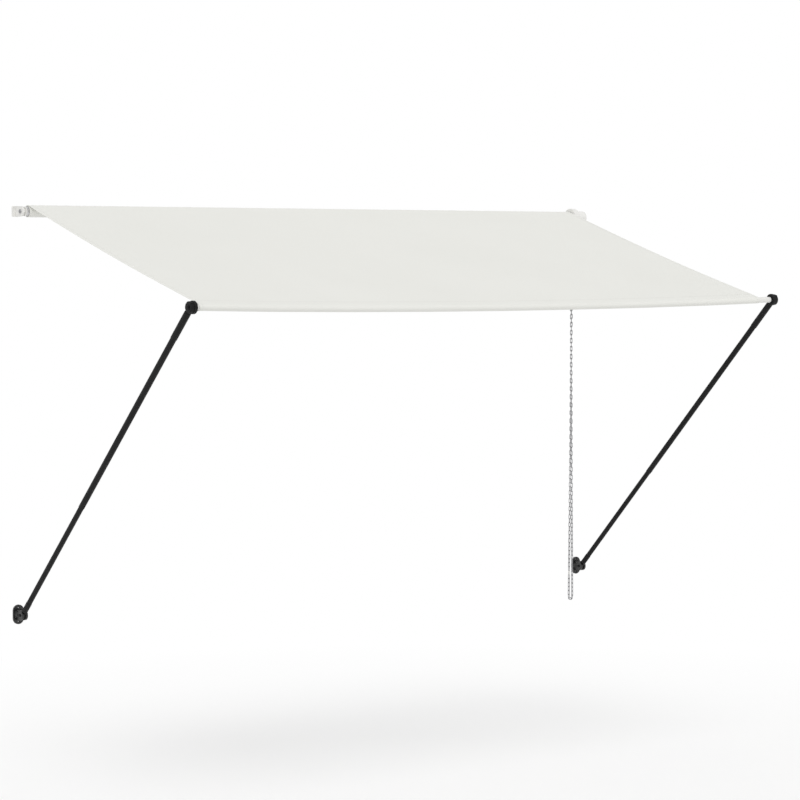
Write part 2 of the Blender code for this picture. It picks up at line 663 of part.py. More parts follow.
def make_arm(side, x, empty, inward):
    """One arm along the empty's +Z: foot, two tubes screwed together, and the head."""
    sleeve_lo = EAR_R + EAR_PLAY
    seat = LOWER_START - GAP
    profile = [(sleeve_lo, 0), (sleeve_lo, SLEEVE_R - 0.002), (sleeve_lo + 0.003, SLEEVE_R),
               (SLEEVE_END, SLEEVE_R), (SLEEVE_END, LOWER_R + RUN), (seat, LOWER_R + RUN), (seat, 0)]
    foot = new_object("arm_foot_" + side, lathe(profile, 24, axis="Z"), "black_plastic", empty,
                      (x, 0, 0))
    tongue = [(TONGUE_W / 2, sleeve_lo + 0.007), (-TONGUE_W / 2, sleeve_lo + 0.007)]
    tongue += arc(0, 0, TONGUE_R, 180, 360, 10)
    tool = new_object("arm_foot_tongue_" + side, extrude(tongue, -TONGUE_HALF, TONGUE_HALF, "YZ"),
                      "black_plastic", empty, (x, 0, 0))
    boolean(foot, tool, "UNION")
    tool = new_object("arm_foot_hole_" + side, lathe(rod_profile(-0.02, 0.02, BOLT_R + RUN), 24),
                      "zinc", empty, (x, 0, 0))
    boolean(foot, tool, "DIFFERENCE")

    new_object("arm_lower_tube_" + side,
               lathe(tube_profile(LOWER_START, LOWER_END, LOWER_R, LOWER_R - ARM_WALL), 24, closed=True,
                     axis="Z"), "black_paint", empty, (x, 0, 0))
    head_lo = ARM - HEAD_SLEEVE
    upper_end = ARM - UPPER_STOP
    new_object("arm_upper_tube_" + side,
               lathe(tube_profile(UPPER_START, upper_end, UPPER_R, LOWER_R + RUN), 24, closed=True,
                     axis="Z"), "black_paint", empty, (x, 0, 0))
    new_object("arm_joint_screw_" + side,
               lathe([(0, 0), (0, 0.0042), (-0.0012, 0.0042), (-0.0024, 0.0028), (-0.0024, 0)], 16,
                     axis="Y"), "black_paint", empty, (x, -UPPER_R - GAP, JOINT_SCREW))

    # The eye is the head's outer half; the cap on the bar's end is the inner half
    s = inward
    profile = [(-EYE_OUT, 0), (-EYE_OUT, EYE_R - 0.003), (-EYE_OUT + 0.003, EYE_R),
               (EYE_IN, EYE_R), (EYE_IN, 0)]
    eye = new_object("arm_head_" + side, lathe([(s * p, r) for p, r in profile], 24),
                     "black_plastic", empty, (x, 0, ARM))
    neck_lo = ARM - CAP_R - 0.004
    profile = [(head_lo, 0), (head_lo, HEAD_SLEEVE_R), (neck_lo, HEAD_SLEEVE_R),
               (neck_lo + 0.007, NECK_R), (ARM - 0.012, NECK_R), (ARM - 0.012, 0)]
    neck = new_object("arm_head_neck_" + side, lathe(profile, 24, axis="Z"),
                      "black_plastic", empty, (x, 0, 0))
    boolean(eye, neck, "UNION")
    tool = new_object("arm_head_cap_space_" + side,
                      lathe([(s * p, r) for p, r in rod_profile(EYE_IN, 0.04, CAP_R + GAP)], 24),
                      "black_plastic", empty, (x, 0, ARM))
    boolean(eye, tool, "DIFFERENCE")
    tool = new_object("arm_head_socket_" + side,
                      lathe(rod_profile(head_lo - 0.01, upper_end + GAP, UPPER_R + RUN), 24, axis="Z"),
                      "black_plastic", empty, (x, 0, 0))
    boolean(eye, tool, "DIFFERENCE")
    tool = new_object("arm_head_hole_" + side, lathe(rod_profile(-0.03, 0.03, SPIGOT_R + RUN), 24),
                      "zinc", empty, (x, 0, ARM))
    boolean(eye, tool, "DIFFERENCE")
    middle = s * (EYE_IN - EYE_OUT) / 2
    new_object("arm_head_screw_" + side,
               lathe([(0, 0), (0, 0.0045), (0.0016, 0.0045), (0.0032, 0.0030), (0.0032, 0)], 16,
                     axis="Z"), "black_paint", empty, (x + middle, 0, ARM + EYE_R + GAP))

    # Cap with a plug in the bar's end and a spigot through the eye, held by a washer and a screw
    wall = EYE_IN + GAP
    face = wall + CAP_T
    hub = face + CAP_HUB
    out = EYE_OUT + GAP
    plug_r = (BAR_R - BAR_WALL) * math.cos(math.pi / BAR_SEG) - RUN
    profile = [(-out, 0), (-out, SPIGOT_R), (wall, SPIGOT_R), (wall, CAP_R - 0.001),
               (wall + 0.001, CAP_R), (face - 0.003, CAP_R), (face, CAP_R - 0.003),
               (face, BAR_R + 0.003), (hub, BAR_R + 0.003), (hub, plug_r), (hub + PLUG_DEPTH, plug_r),
               (hub + PLUG_DEPTH, 0)]
    new_object("bar_plug_" + side, lathe([(s * p, r) for p, r in profile], BAR_SEG),
               "black_plastic", empty, (x, 0, ARM))
    out += GAP
    profile = rod_profile(-out - WASHER_T, -out, WASHER_R)
    new_object("bar_washer_" + side, lathe([(s * p, r) for p, r in profile], 24), "black_plastic",
               empty, (x, 0, ARM))
    out += WASHER_T + GAP
    profile = [(-out - 0.0040, 0), (-out - 0.0040, 0.0048), (-out - 0.0020, 0.0072), (-out, 0.0072),
               (-out, 0)]
    new_object("bar_screw_" + side, lathe([(s * p, r) for p, r in profile], 16), "black_paint", empty,
               (x, 0, ARM))


def bar_stations():
    lo = EYE_IN + 2 * GAP + CAP_T + CAP_HUB
    hi = SPAN - lo
    steps = 8
    inside = [lo + 0.030]
    for i in range(1, steps):
        inside.append(SPAN * i / steps)
    inside.append(hi - 0.030)
    return lo, inside, hi


def make_front_bar(empty):
    """White tube between the arm heads; the sag points straight down when open."""
    lo, inside, hi = bar_stations()
    xs = [lo] + inside + [hi]
    down = math.radians(OPEN_DEG)
    bm = bmesh.new()
    outer = []
    inner = []
    seg = BAR_SEG
    for x in xs:
        sag = sag_at(x)
        if x <= inside[0] or x >= inside[-1]:
            sag = 0.0
        oy = -sag * math.sin(down)
        oz = -sag * math.cos(down)
        for rings, rad in ((outer, BAR_R), (inner, BAR_R - BAR_WALL)):
            ring = []
            for i in range(seg):
                a = 2 * math.pi * i / seg
                ring.append(bm.verts.new((x, oy + rad * math.cos(a), oz + rad * math.sin(a))))
            rings.append(ring)
    for rings in (outer, inner):
        for one, two in zip(rings, rings[1:]):
            for i in range(seg):
                j = (i + 1) % seg
                bm.faces.new((one[i], one[j], two[j], two[i]))
    for k in (0, -1):
        for i in range(seg):
            j = (i + 1) % seg
            bm.faces.new((outer[k][i], outer[k][j], inner[k][j], inner[k][i]))
    new_object("front_bar", bm, "white_paint", empty, (0, 0, ARM))


def make_canopy():
    """Cloth from over the top of the roll to a sewn hem pocket round the front bar."""
    a = math.radians(OPEN_DEG)
    bar_y = PIVOT_Y - ARM * math.sin(a)
    bar_z = -DROP + ARM * math.cos(a)
    half = CLOTH_T / 2
    roll_r = ROLL_OUT + GAP + half
    hem_r = HEM_R + half
    lo, inside, hi = bar_stations()
    xs = [CLOTH_LEFT + 0.001] + [x for x in inside if CLOTH_LEFT + 0.005 < x < CLOTH_RIGHT - 0.005]
    xs.append(CLOTH_RIGHT - 0.001)
    stations = []
    for x in xs:
        by = bar_y
        bz = bar_z - bar_sag(x, inside)
        # Common outer tangent of the roll and the hem, in (y, z)
        dy = by - ROLL_Y
        dz = bz
        dist = math.hypot(dy, dz)
        base = math.atan2(dz, dy)
        tilt = math.asin((roll_r - hem_r) / dist)
        normal = base - math.pi / 2 - tilt
        path = []
        for i in range(6):
            b = normal - math.radians(ROLL_WRAP) * (1 - i / 5)
            path.append((ROLL_Y + roll_r * math.cos(b), roll_r * math.sin(b)))
        end = (by + hem_r * math.cos(normal), bz + hem_r * math.sin(normal))
        first = path[-1]
        reach = math.hypot(end[0] - first[0], end[1] - first[1])
        for f in (1 / 3, 2 / 3, 1 - SEAM_OUT / reach, 1 - SEAM_IN / reach):
            path.append((first[0] + (end[0] - first[0]) * f, first[1] + (end[1] - first[1]) * f))
        wraps = 13
        for i in range(wraps + 1):
            b = normal + math.radians(HEM_WRAP) * i / wraps
            path.append((by + hem_r * math.cos(b), bz + hem_r * math.sin(b)))
        # The turned-in edge lies just under the sheet, where the hem is sewn
        back = Vector((first[0] - end[0], first[1] - end[1])).normalized()
        side = Vector((math.cos(normal), math.sin(normal)))
        under = CLOTH_T + GAP
        for along in (SEAM_IN, SEAM_OUT):
            p = Vector(end) + back * along - side * under
            path.append((p.x, p.y))
        left, right = ribbon(path, half)
        stations.append((x, left, right))
    new_object("canopy_cloth", loft(stations), "canvas")


def bar_sag(x, inside):
    """The bar's sag at x, straight between the bar's own stations."""
    for one, two in zip(inside, inside[1:]):
        if one <= x <= two:
            s1 = 0.0 if one == inside[0] else sag_at(one)
            s2 = 0.0 if two == inside[-1] else sag_at(two)
            return s1 + (s2 - s1) * (x - one) / (two - one)
    return 0.0


def build():
    clear_scene()
    roller = bpy.data.objects.new("roller_axis", None)
    bpy.context.collection.objects.link(roller)
    roller.location = (0, ROLL_Y, 0)
    arms = bpy.data.objects.new("arm_axis", None)
    bpy.context.collection.objects.link(arms)
    arms.location = (0, PIVOT_Y, -DROP)
    arms.rotation_euler = (math.radians(OPEN_DEG), 0, 0)
    for side, x, inward in (("left", 0.0, 1), ("right", SPAN, -1)):
        make_bracket(side, x)
        make_foot(side, x)
        make_arm(side, x, arms, inward)
    make_roller_ends()
    make_roller(roller)
    make_front_bar(arms)
    make_canopy()
    make_chain()
    bpy.context.view_layer.update()


build()
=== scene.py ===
"""Looks of the drop-arm canvas awning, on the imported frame. Metres, row frame.

The solids keep their place and get materials and small edge radii. The cloth, its hem and the
chain are built here and take the place of the plain solids.
"""
import json
import math

import bmesh
import bpy
from mathutils import Matrix, Vector


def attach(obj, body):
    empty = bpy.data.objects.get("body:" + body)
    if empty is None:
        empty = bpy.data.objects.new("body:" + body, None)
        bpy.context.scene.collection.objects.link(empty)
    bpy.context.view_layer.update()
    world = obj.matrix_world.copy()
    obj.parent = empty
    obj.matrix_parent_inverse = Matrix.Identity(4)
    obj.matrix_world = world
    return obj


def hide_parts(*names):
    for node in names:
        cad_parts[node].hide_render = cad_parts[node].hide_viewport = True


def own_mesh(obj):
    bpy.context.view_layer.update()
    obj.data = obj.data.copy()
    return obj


# Sizes repeated from the part's source
SPAN = 3.444
DROP = 1.882
ARM = 2.055
OPEN_DEG = 44.8
PIVOT_Y = -0.045
ROLL_Y = -0.055
SAG = 0.020
GAP = 0.0003
CLOTH_T = 0.001
CLOTH_LEFT = 0.034
CLOTH_RIGHT = SPAN - 0.103
ROLL_OUT = 0.0277
BAR_R = 0.014
HEM_R = BAR_R + 0.0007
BAR_START = 0.0236
BAR_PARTS = 8
PLUG_DEPTH = 0.030
SEAM_BACK = 0.040
WHEEL_X = 0.081
CHAIN_PITCH = 0.0216
CHAIN_R = 0.0310
CHAIN_BOTTOM = -2.058
CHAIN_TWIST_TOP = -0.12
CHAIN_NARROW = 0.0125
CONNECTOR_UP = 0.157

# The cloth as sewn: a little narrower than the solid, with its side hems folded under
CLOTH_INSET = 0.001
SIDE_HEM = 0.022
HEM_STEP = 0.0008
HEM_LAYER = 0.0009
EDGE_STEP = 0.0006
EDGE_THIN = 0.0002
STATION_GAP = 0.005
STATIONS = 64
SHEET_STEPS = 44
WRAP_DEG = 40
WRAP_STEPS = 8
HEM_TURN_DEG = 292
HEM_TURN_STEPS = 28
HEM_TOP_STEPS = 5
HEM_FLAP = (0.024, 0.030, 0.034, SEAM_BACK + 0.012)
HEM_V = 0.02

# How the hung cloth hangs: its belly, the softer side edges, and two faint folds that are each
# given by height, waves across, drift along and start. They grow from the roll to the seam
BELLY = 0.007
EDGE_BELLY = 0.004
EDGE_FALL = 22
FOLDS = ((0.0011, 9.1 * math.pi, 1.9, 0.0), (0.0008, 23.7, 5.3, 0.8))
FOLD_FIRST = 0.4

# Canvas: its tones, weave and stitches
CANVAS_TONE = (0.775, 0.775, 0.735)
CANVAS_DARK = (0.762, 0.762, 0.722, 1.0)
CANVAS_LIGHT = (0.788, 0.788, 0.750, 1.0)
THREAD_TONE = (0.66, 0.66, 0.62, 1.0)
THREAD_PITCH = 0.0012
STITCH_HALF = 0.0007
STITCH_PITCH = 0.0048
STITCH_FILL = 0.68
SEAM_ROWS = (-0.005, -0.011)
SIDE_ROW = 0.004

# Wire of the chain's links, and the steps of the line that they follow
LINK_WIRE = 0.0019
LINK_HALF_W = 0.0046
LINK_BITE = 0.98
LINK_STEPS = 14
LINK_SIDES = 8
TOP_STEPS = 120
STRAND_STEPS = 900
FOOT_STEPS = 40

# The strands keep their distance near the wheel, and make part of their quarter turn at once
NARROWING = 6
TWIST_FIRST = 0.40
TWIST_FIRST_OVER = 5

# Floor, light and the camera of the photograph, whose frame is 800 pixels wide
FLOOR_HALF = 60.0
FLOOR_AT = (SPAN / 2, -1.0, -2.75)
FLOOR_TONE = (0.90, 0.90, 0.90, 1.0)
FADE_START = 1.5
FADE_STOP = 5.0
FADE_LEAST = 0.5
WHITE = (1.0, 1.0, 1.0, 1.0)
SURROUND = 0.74
SUNS = (("key", 0.93, 25, (-0.35, -0.55, 0.95)), ("front", 0.26, 40, (-0.55, -0.80, 0.10)))
CAMERA_AT = (-8.185 + SPAN / 2, -11.449, -0.206)
CAMERA_TILT = 90 - 2.951
CAMERA_PAN = -37.268
FOCAL_PIXELS = 2796.0
FRAME_PIXELS = 800.0
SENSOR_MM = 36.0

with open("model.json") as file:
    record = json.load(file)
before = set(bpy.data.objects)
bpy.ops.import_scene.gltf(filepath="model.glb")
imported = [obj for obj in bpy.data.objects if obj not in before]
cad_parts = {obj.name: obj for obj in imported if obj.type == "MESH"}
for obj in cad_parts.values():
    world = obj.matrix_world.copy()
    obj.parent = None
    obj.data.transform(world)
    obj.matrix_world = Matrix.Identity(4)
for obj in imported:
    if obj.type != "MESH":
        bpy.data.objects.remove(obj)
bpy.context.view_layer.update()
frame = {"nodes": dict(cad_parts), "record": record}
NODES = frame["nodes"]


def finish_mesh(name, bm, smooth=True, angle=40):
    bmesh.ops.recalc_face_normals(bm, faces=bm.faces)
    mesh = bpy.data.meshes.new(name)
    bm.to_mesh(mesh)
    bm.free()
    obj = bpy.data.objects.new(name, mesh)
    bpy.context.collection.objects.link(obj)
    if smooth:
        mesh.shade_smooth()
        mesh.set_sharp_from_angle(angle=math.radians(angle))
    return obj


# Materials
class Tree:
    """Adds and links the nodes of one shader tree."""

    def __init__(self, tree):
        self.tree = tree

    def feed(self, socket, value):
        """Link another node's output to a socket, or give it a fixed value."""
        if isinstance(value, bpy.types.NodeSocket):
            self.tree.links.new(value, socket)
        else:
            socket.default_value = value

    def add(self, kind, **inputs):
        node = self.tree.nodes.new(kind)
        for key, value in inputs.items():
            self.feed(node.inputs[key.replace("_", " ")], value)
        return node

    def math(self, operation, a, b=0.0):
        node = self.add("ShaderNodeMath")
        node.operation = operation
        self.feed(node.inputs[0], a)
        self.feed(node.inputs[1], b)
        return node.outputs[0]

    def spread(self, value, low, high, start=0.3, stop=0.7):
        """Move a value from start...stop to low...high."""
        node = self.add("ShaderNodeMapRange", Value=value, From_Min=start, From_Max=stop,
                        To_Min=low, To_Max=high)
        return node.outputs["Result"]

    def mix_shaders(self, factor, one, two):
        node = self.add("ShaderNodeMixShader", Fac=factor)
        self.feed(node.inputs[1], one.outputs[0])
        self.feed(node.inputs[2], two.outputs[0])
        return node.outputs[0]


class Surface(Tree):
    """A material on the plain surface shader."""

    def __init__(self, name, colour, roughness, metallic=0.0):
        self.mat = bpy.data.materials.new(name)
        self.mat.use_nodes = True
        super().__init__(self.mat.node_tree)
        self.shader = self.tree.nodes["Principled BSDF"]
        self.set(Base_Color=(*colour, 1.0), Roughness=roughness, Metallic=metallic)
        self.coords = self.add("ShaderNodeTexCoord")

    def set(self, **inputs):
        for key, value in inputs.items():
            self.feed(self.shader.inputs[key.replace("_", " ")], value)

    def place(self, source="Object", scale=None):
        """Coordinates on the piece, stretched by scale where that is given."""
        vector = self.coords.outputs[source]
        if scale is None:
            return vector
        return self.add("ShaderNodeMapping", Vector=vector, Scale=scale).outputs["Vector"]

    def noise(self, scale, detail, vector=None):
        node = self.add("ShaderNodeTexNoise", Scale=scale, Detail=detail,
                        Vector=vector or self.place())
        return node.outputs["Fac"]

    def blend(self, factor, one, two):
        """Colour between one and two, which are colours or other nodes' outputs."""
        node = self.add("ShaderNodeMix")
        node.data_type = "RGBA"
        self.feed(node.inputs["Factor"], factor)
        self.feed(node.inputs["A"], one)
        self.feed(node.inputs["B"], two)
        return node.outputs["Result"]

    def uneven(self, value, colour, down, up):
        """Tone that wanders between a darker and a lighter neighbour of the colour."""
        dark = [c * down for c in colour]
        light = [min(c * up, 0.95) for c in colour]
        return self.blend(self.spread(value, 0.0, 1.0), (*dark, 1.0), (*light, 1.0))

    def bump(self, height, strength, distance, normal=None):
        node = self.add("ShaderNodeBump", Strength=strength, Distance=distance, Height=height)
        if normal is not None:
            self.feed(node.inputs["Normal"], normal)
        return node.outputs["Normal"]


def coated_metal(name, colour, roughness, lift, gloss=0.45):
    """Powder coat: fine orange peel and a faint unevenness of tone."""
    n = Surface(name, colour, roughness)
    patch = n.noise(scale=25.0, detail=3.0)
    n.set(Base_Color=n.uneven(n.noise(scale=6.0, detail=4.0), colour, 1 - lift, 1 + lift),
          Roughness=n.spread(patch, roughness - 0.05, roughness + 0.07),
          Normal=n.bump(n.noise(scale=900.0, detail=2.0), strength=0.35, distance=0.00012),
          Specular_IOR_Level=gloss)
    return n.mat


def moulded(name, colour, roughness, lift, gloss=0.5):
    """Moulded plastic with a fine spark-eroded grain."""
    n = Surface(name, colour, roughness)
    cell = n.add("ShaderNodeTexVoronoi", Scale=1400.0, Vector=n.place())
    patch = n.noise(scale=40.0, detail=2.0)
    n.set(Base_Color=n.uneven(n.noise(scale=14.0, detail=3.0), colour, 1 - lift, 1 + lift),
          Roughness=n.spread(patch, roughness - 0.04, roughness + 0.06),
          Normal=n.bump(cell.outputs["Distance"], strength=0.25, distance=0.0001),
          Specular_IOR_Level=gloss)
    return n.mat


def plated(name, colour, roughness):
    """Zinc plate or mill aluminium: patchy tone and fine drawn lines."""
    n = Surface(name, colour, roughness, metallic=1.0)
    lines = n.noise(scale=500.0, detail=2.0, vector=n.place(scale=(8.0, 1.0, 1.0)))
    patch = n.noise(scale=60.0, detail=4.0)
    n.set(Base_Color=n.uneven(patch, colour, 0.82, 1.12),
          Roughness=n.spread(patch, roughness - 0.08, roughness + 0.12),
          Normal=n.bump(lines, strength=0.15, distance=0.00006))
    return n.mat


def canvas(name, mapped):
    """Plain woven cream canvas; mapped pieces carry metres in their UV map."""
    n = Surface(name, CANVAS_TONE, roughness=0.92)
    source = "UV" if mapped else "Object"
    place = n.place(source)
    part = n.add("ShaderNodeSeparateXYZ", Vector=place)
    u = part.outputs["X"]
    v = part.outputs["Y"]
    # Warp and weft: one thread up and one down in each pitch
    turns = 2 * math.pi / THREAD_PITCH
    warp = n.math("SINE", n.math("MULTIPLY", u, turns))
    weft = n.math("SINE", n.math("MULTIPLY", v, turns))
    weave = n.math("MULTIPLY", warp, weft)
    # Yarns of uneven thickness along and across, and a wide faint cloud of tone
    along = n.noise(scale=1.0, detail=3.0, vector=n.place(source, (900.0, 30.0, 1.0)))
    across = n.noise(scale=1.0, detail=3.0, vector=n.place(source, (30.0, 900.0, 1.0)))
    yarn = n.math("ADD", along, across)
    wide = n.noise(scale=1.6, detail=3.0, vector=place)
    tone = n.math("ADD", n.math("MULTIPLY", wide, 0.4), n.math("MULTIPLY", yarn, 0.3))
    base = n.blend(n.spread(tone, 0.0, 1.0, 0.35, 0.65), CANVAS_DARK, CANVAS_LIGHT)
    height = n.math("ADD", n.math("MULTIPLY", weave, 0.5), yarn)
    normal = n.bump(height, strength=0.35, distance=0.00022)
    if mapped:
        thread = stitches(n, u, v)
        base = n.blend(thread, base, THREAD_TONE)
        normal = n.bump(thread, strength=0.6, distance=0.0005, normal=normal)
    n.set(Base_Color=base, Normal=normal, Roughness=n.spread(yarn, 0.86, 0.96, 0.7, 1.3),
          Sheen_Weight=0.12, Sheen_Roughness=0.6, Specular_IOR_Level=0.2)
    return n.mat


def stitch_row(n, across, along, at):
    """One row of stitches: dashes along a line that lies at a place across it."""
    away = n.math("ABSOLUTE", n.math("SUBTRACT", across, at))
    near = n.math("LESS_THAN", away, STITCH_HALF)
    phase = n.math("FRACT", n.math("DIVIDE", n.math("ADD", along, 1.0), STITCH_PITCH))
    return n.math("MULTIPLY", near, n.math("LESS_THAN", phase, STITCH_FILL))


def stitches(n, u, v):
    """Two rows along the hem seam (v counts back from it) and one along each side hem."""
    rows = [stitch_row(n, v, u, at) for at in SEAM_ROWS]
    rows.append(stitch_row(n, u, v, CLOTH_LEFT + SIDE_HEM - SIDE_ROW))
    rows.append(stitch_row(n, u, v, CLOTH_RIGHT - SIDE_HEM + SIDE_ROW))
    total = rows[0]
    for extra in rows[1:]:
        total = n.math("MAXIMUM", total, extra)
    return total


MATS = {
    "white_paint": coated_metal("white_paint", (0.78, 0.775, 0.75), 0.42, 0.025),
    "white_plastic": moulded("white_plastic", (0.79, 0.785, 0.76), 0.42, 0.02),
    "black_paint": coated_metal("black_paint", (0.0082, 0.0082, 0.0084), 0.50, 0.22, 0.18),
    "black_plastic": moulded("black_plastic", (0.0078, 0.0078, 0.0080), 0.48, 0.25, 0.18),
    "foot_plastic": moulded("foot_plastic", (0.013, 0.013, 0.0132), 0.30, 0.25, 0.55),
    "zinc": plated("zinc", (0.41, 0.41, 0.42), 0.34),
    "aluminium": plated("aluminium", (0.68, 0.68, 0.69), 0.38),
    "canvas": canvas("canvas_roll", False),
}
CANVAS = canvas("canvas_cloth", True)

for item in frame["record"]["subparts"]:
    obj = NODES[item["node"]]
    mat = MATS[item["material_slot"]]
    if item["node"].startswith("wall_foot_"):
        mat = MATS["foot_plastic"]
    obj.data.materials.clear()
    obj.data.materials.append(mat)


# The hard pieces keep their CAD shape and get the small edge radii of cast, moulded and cut parts
EDGES = {
    "wall_foot_": 0.0016,
    "arm_head_": 0.0009,
    "arm_foot_": 0.0008,
    "bar_plug_": 0.0007,
    "roller_bracket_": 0.0008,
    "chain_guard": 0.0006,
    "drive_cover": 0.0005,
    "drive_drum": 0.0006,
    "chain_wheel": 0.0005,
    "foot_nut_": 0.0005,
    "foot_bolt_": 0.0004,
    "idle_spacer": 0.0004,
    "idle_plug": 0.0004,
    "bar_washer_": 0.0003,
    "chain_connector": 0.0004,
}
EDGE_SEGMENTS = 2
EDGE_ANGLE = 38
WELD_WITHIN = 0.00001


def soften(obj, width):
    weld = obj.modifiers.new("weld", "WELD")
    weld.merge_threshold = WELD_WITHIN
    bevel = obj.modifiers.new("edges", "BEVEL")
    bevel.width = width
    bevel.segments = EDGE_SEGMENTS
    bevel.limit_method = "ANGLE"
    bevel.angle_limit = math.radians(EDGE_ANGLE)
    bevel.harden_normals = True


for name, obj in NODES.items():
    for start, width in EDGES.items():
        if name.startswith(start):
            soften(obj, width)
            break


# Cloth. Points of a section are (y, z) pairs
BAR_Y = PIVOT_Y - ARM * math.sin(math.radians(OPEN_DEG))
BAR_Z = -DROP + ARM * math.cos(math.radians(OPEN_DEG))
HALF_T = CLOTH_T / 2
ROLL_MID = ROLL_OUT + GAP + HALF_T
HEM_MID = HEM_R + HALF_T
WRAP = math.radians(WRAP_DEG)

# The bar's solid is straight from one of these places to the next
BAR_BENDS = [BAR_START + PLUG_DEPTH]
BAR_BENDS += [SPAN * i / BAR_PARTS for i in range(1, BAR_PARTS)]
BAR_BENDS += [SPAN - BAR_START - PLUG_DEPTH]


def bend_sag(x):
    """How far the bar hangs down at one of its bends; its ends don't hang."""
    if x in (BAR_BENDS[0], BAR_BENDS[-1]):
        return 0.0
    u = x / SPAN
    return SAG * 4 * u * (1 - u)


def bar_sag(x):
    for one, two in zip(BAR_BENDS, BAR_BENDS[1:]):
        if one <= x <= two:
            s1 = bend_sag(one)
            s2 = bend_sag(two)
            return s1 + (s2 - s1) * (x - one) / (two - one)
    return 0.0


def polar(angle):
    return Vector((math.cos(angle), math.sin(angle)))


def section(x):
    """The cloth at x: the bar's centre, the angle of its outer side, and its two tangent points."""
    bar = Vector((BAR_Y, BAR_Z - bar_sag(x)))
    roll = Vector((ROLL_Y, 0.0))
    reach = bar - roll
    lean = math.asin((ROLL_MID - HEM_MID) / reach.length)
    normal = math.atan2(reach.y, reach.x) - math.pi / 2 - lean
    start = roll + polar(normal) * ROLL_MID
    end = bar + polar(normal) * HEM_MID
    return bar, normal, start, end


def seam_point(start, end):
    return end + (start - end).normalized() * SEAM_BACK


def x_stations(lo, hi):
    """Places across the cloth, with close ones at its edges and at the side hems' inner edges."""
    xs = [lo, lo + EDGE_STEP, lo + SIDE_HEM - HEM_STEP, lo + SIDE_HEM]
    for i in range(1, STATIONS):
        x = lo + (hi - lo) * i / STATIONS
        if xs[3] + STATION_GAP < x < hi - SIDE_HEM - STATION_GAP:
            xs.append(x)
    return xs + [hi - SIDE_HEM, hi - SIDE_HEM + HEM_STEP, hi - EDGE_STEP, hi]


def ripple(x, f):
    """Slack of the hung cloth at x, a part f of the way from the roll to the seam."""
    body = math.sin(math.pi * f)
    u = (x - CLOTH_LEFT) / (CLOTH_RIGHT - CLOTH_LEFT)
    edge = math.exp(-u * EDGE_FALL) + math.exp(-(1 - u) * EDGE_FALL)
    drop = BELLY * body + EDGE_BELLY * edge * body
    fold = sum(high * math.sin(waves * u + drift * f + first)
               for high, waves, drift, first in FOLDS)
    return fold * body * (FOLD_FIRST + (1 - FOLD_FIRST) * f) - drop


def add_strip(name, xs, make_path, doubled):
    """Closed cloth solid over the x stations, with a UV map in metres.

    make_path(x) gives (y, z, normal y, normal z, v) for each point of the cloth's middle.
    doubled cloth gets a second layer below along its side edges.
    """
    bm = bmesh.new()
    uv_layer = bm.loops.layers.uv.new("metres")
    tops = []
    lows = []
    inner_lo = xs[0] + SIDE_HEM - HEM_STEP / 2
    inner_hi = xs[-1] - SIDE_HEM + HEM_STEP / 2
    uv = {}
    for x in xs:
        top = []
        low = []
        up = HALF_T - (EDGE_THIN if x in (xs[0], xs[-1]) else 0.0)
        down = up + (HEM_LAYER if doubled and (x < inner_lo or x > inner_hi) else 0.0)
        for y, z, ny, nz, v in make_path(x):
            top.append(bm.verts.new((x, y + ny * up, z + nz * up)))
            low.append(bm.verts.new((x, y - ny * down, z - nz * down)))
            uv[top[-1]] = (x, v)
            uv[low[-1]] = (x, v)
        tops.append(top)
        lows.append(low)
    last = len(tops[0]) - 1
    for i in range(len(xs) - 1):
        for k in range(last):
            bm.faces.new((tops[i][k], tops[i + 1][k], tops[i + 1][k + 1], tops[i][k + 1]))
            bm.faces.new((lows[i][k], lows[i][k + 1], lows[i + 1][k + 1], lows[i + 1][k]))
        for k in (0, last):
            bm.faces.new((tops[i][k], lows[i][k], lows[i + 1][k], tops[i + 1][k]))
    for i in (0, len(xs) - 1):
        for k in range(last):
            bm.faces.new((tops[i][k], tops[i][k + 1], lows[i][k + 1], lows[i][k]))
    for face in bm.faces:
        for loop in face.loops:
            loop[uv_layer].uv = uv[loop.vert]
    obj = finish_mesh(name, bm, angle=50)
    obj.data.materials.append(CANVAS)
    return obj


def sheet_path(x):
    """Part of a turn on the roll, then the hung cloth down to the seam, where v is zero."""
    _, normal, start, end = section(x)
    seam = seam_point(start, end)
    length = (seam - start).length
    out = polar(normal)
    path = []
    for i in range(WRAP_STEPS):
        left = WRAP * (1 - i / WRAP_STEPS)
        ray = polar(normal - left)
        path.append((ROLL_Y + ROLL_MID * ray.x, ROLL_MID * ray.y, ray.x, ray.y,
                     -length - ROLL_MID * left))
    for i in range(SHEET_STEPS + 1):
        f = i / SHEET_STEPS
        p = start.lerp(seam, f)
        path.append((p.x, p.y + ripple(x, f), out.x, out.y, -length * (1 - f)))
    return path


def hem_path(x):
    """From the seam over and round the bar, and back under the cloth as a flap."""
    bar, normal, start, end = section(x)
    seam = seam_point(start, end)
    back = (start - end).normalized()
    out = polar(normal)
    points = []
    for i in range(HEM_TOP_STEPS + 1):
        points.append((seam.lerp(end, i / HEM_TOP_STEPS), out))
    for i in range(1, HEM_TURN_STEPS + 1):
        ray = polar(normal + math.radians(HEM_TURN_DEG) * i / HEM_TURN_STEPS)
        points.append((bar + ray * HEM_MID, ray))
    for along in HEM_FLAP:
        points.append((end + back * along - out * (CLOTH_T + GAP), -out))
    # v goes on past the seam, so that the hem shows none of the seam's own stitches
    path = []
    before = points[0][0]
    v = HEM_V
    for p, ray in points:
        v += (p - before).length
        before = p
        path.append((p.x, p.y, ray.x, ray.y, v))
    return path


xs = x_stations(CLOTH_LEFT + CLOTH_INSET, CLOTH_RIGHT - CLOTH_INSET)
cloth = add_strip("canopy", xs, sheet_path, True)
hem = add_strip("canopy_hem", xs, hem_path, False)
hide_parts("canopy_cloth")
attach(cloth, "wall_parts")
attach(hem, "arms")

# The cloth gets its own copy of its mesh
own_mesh(cloth)


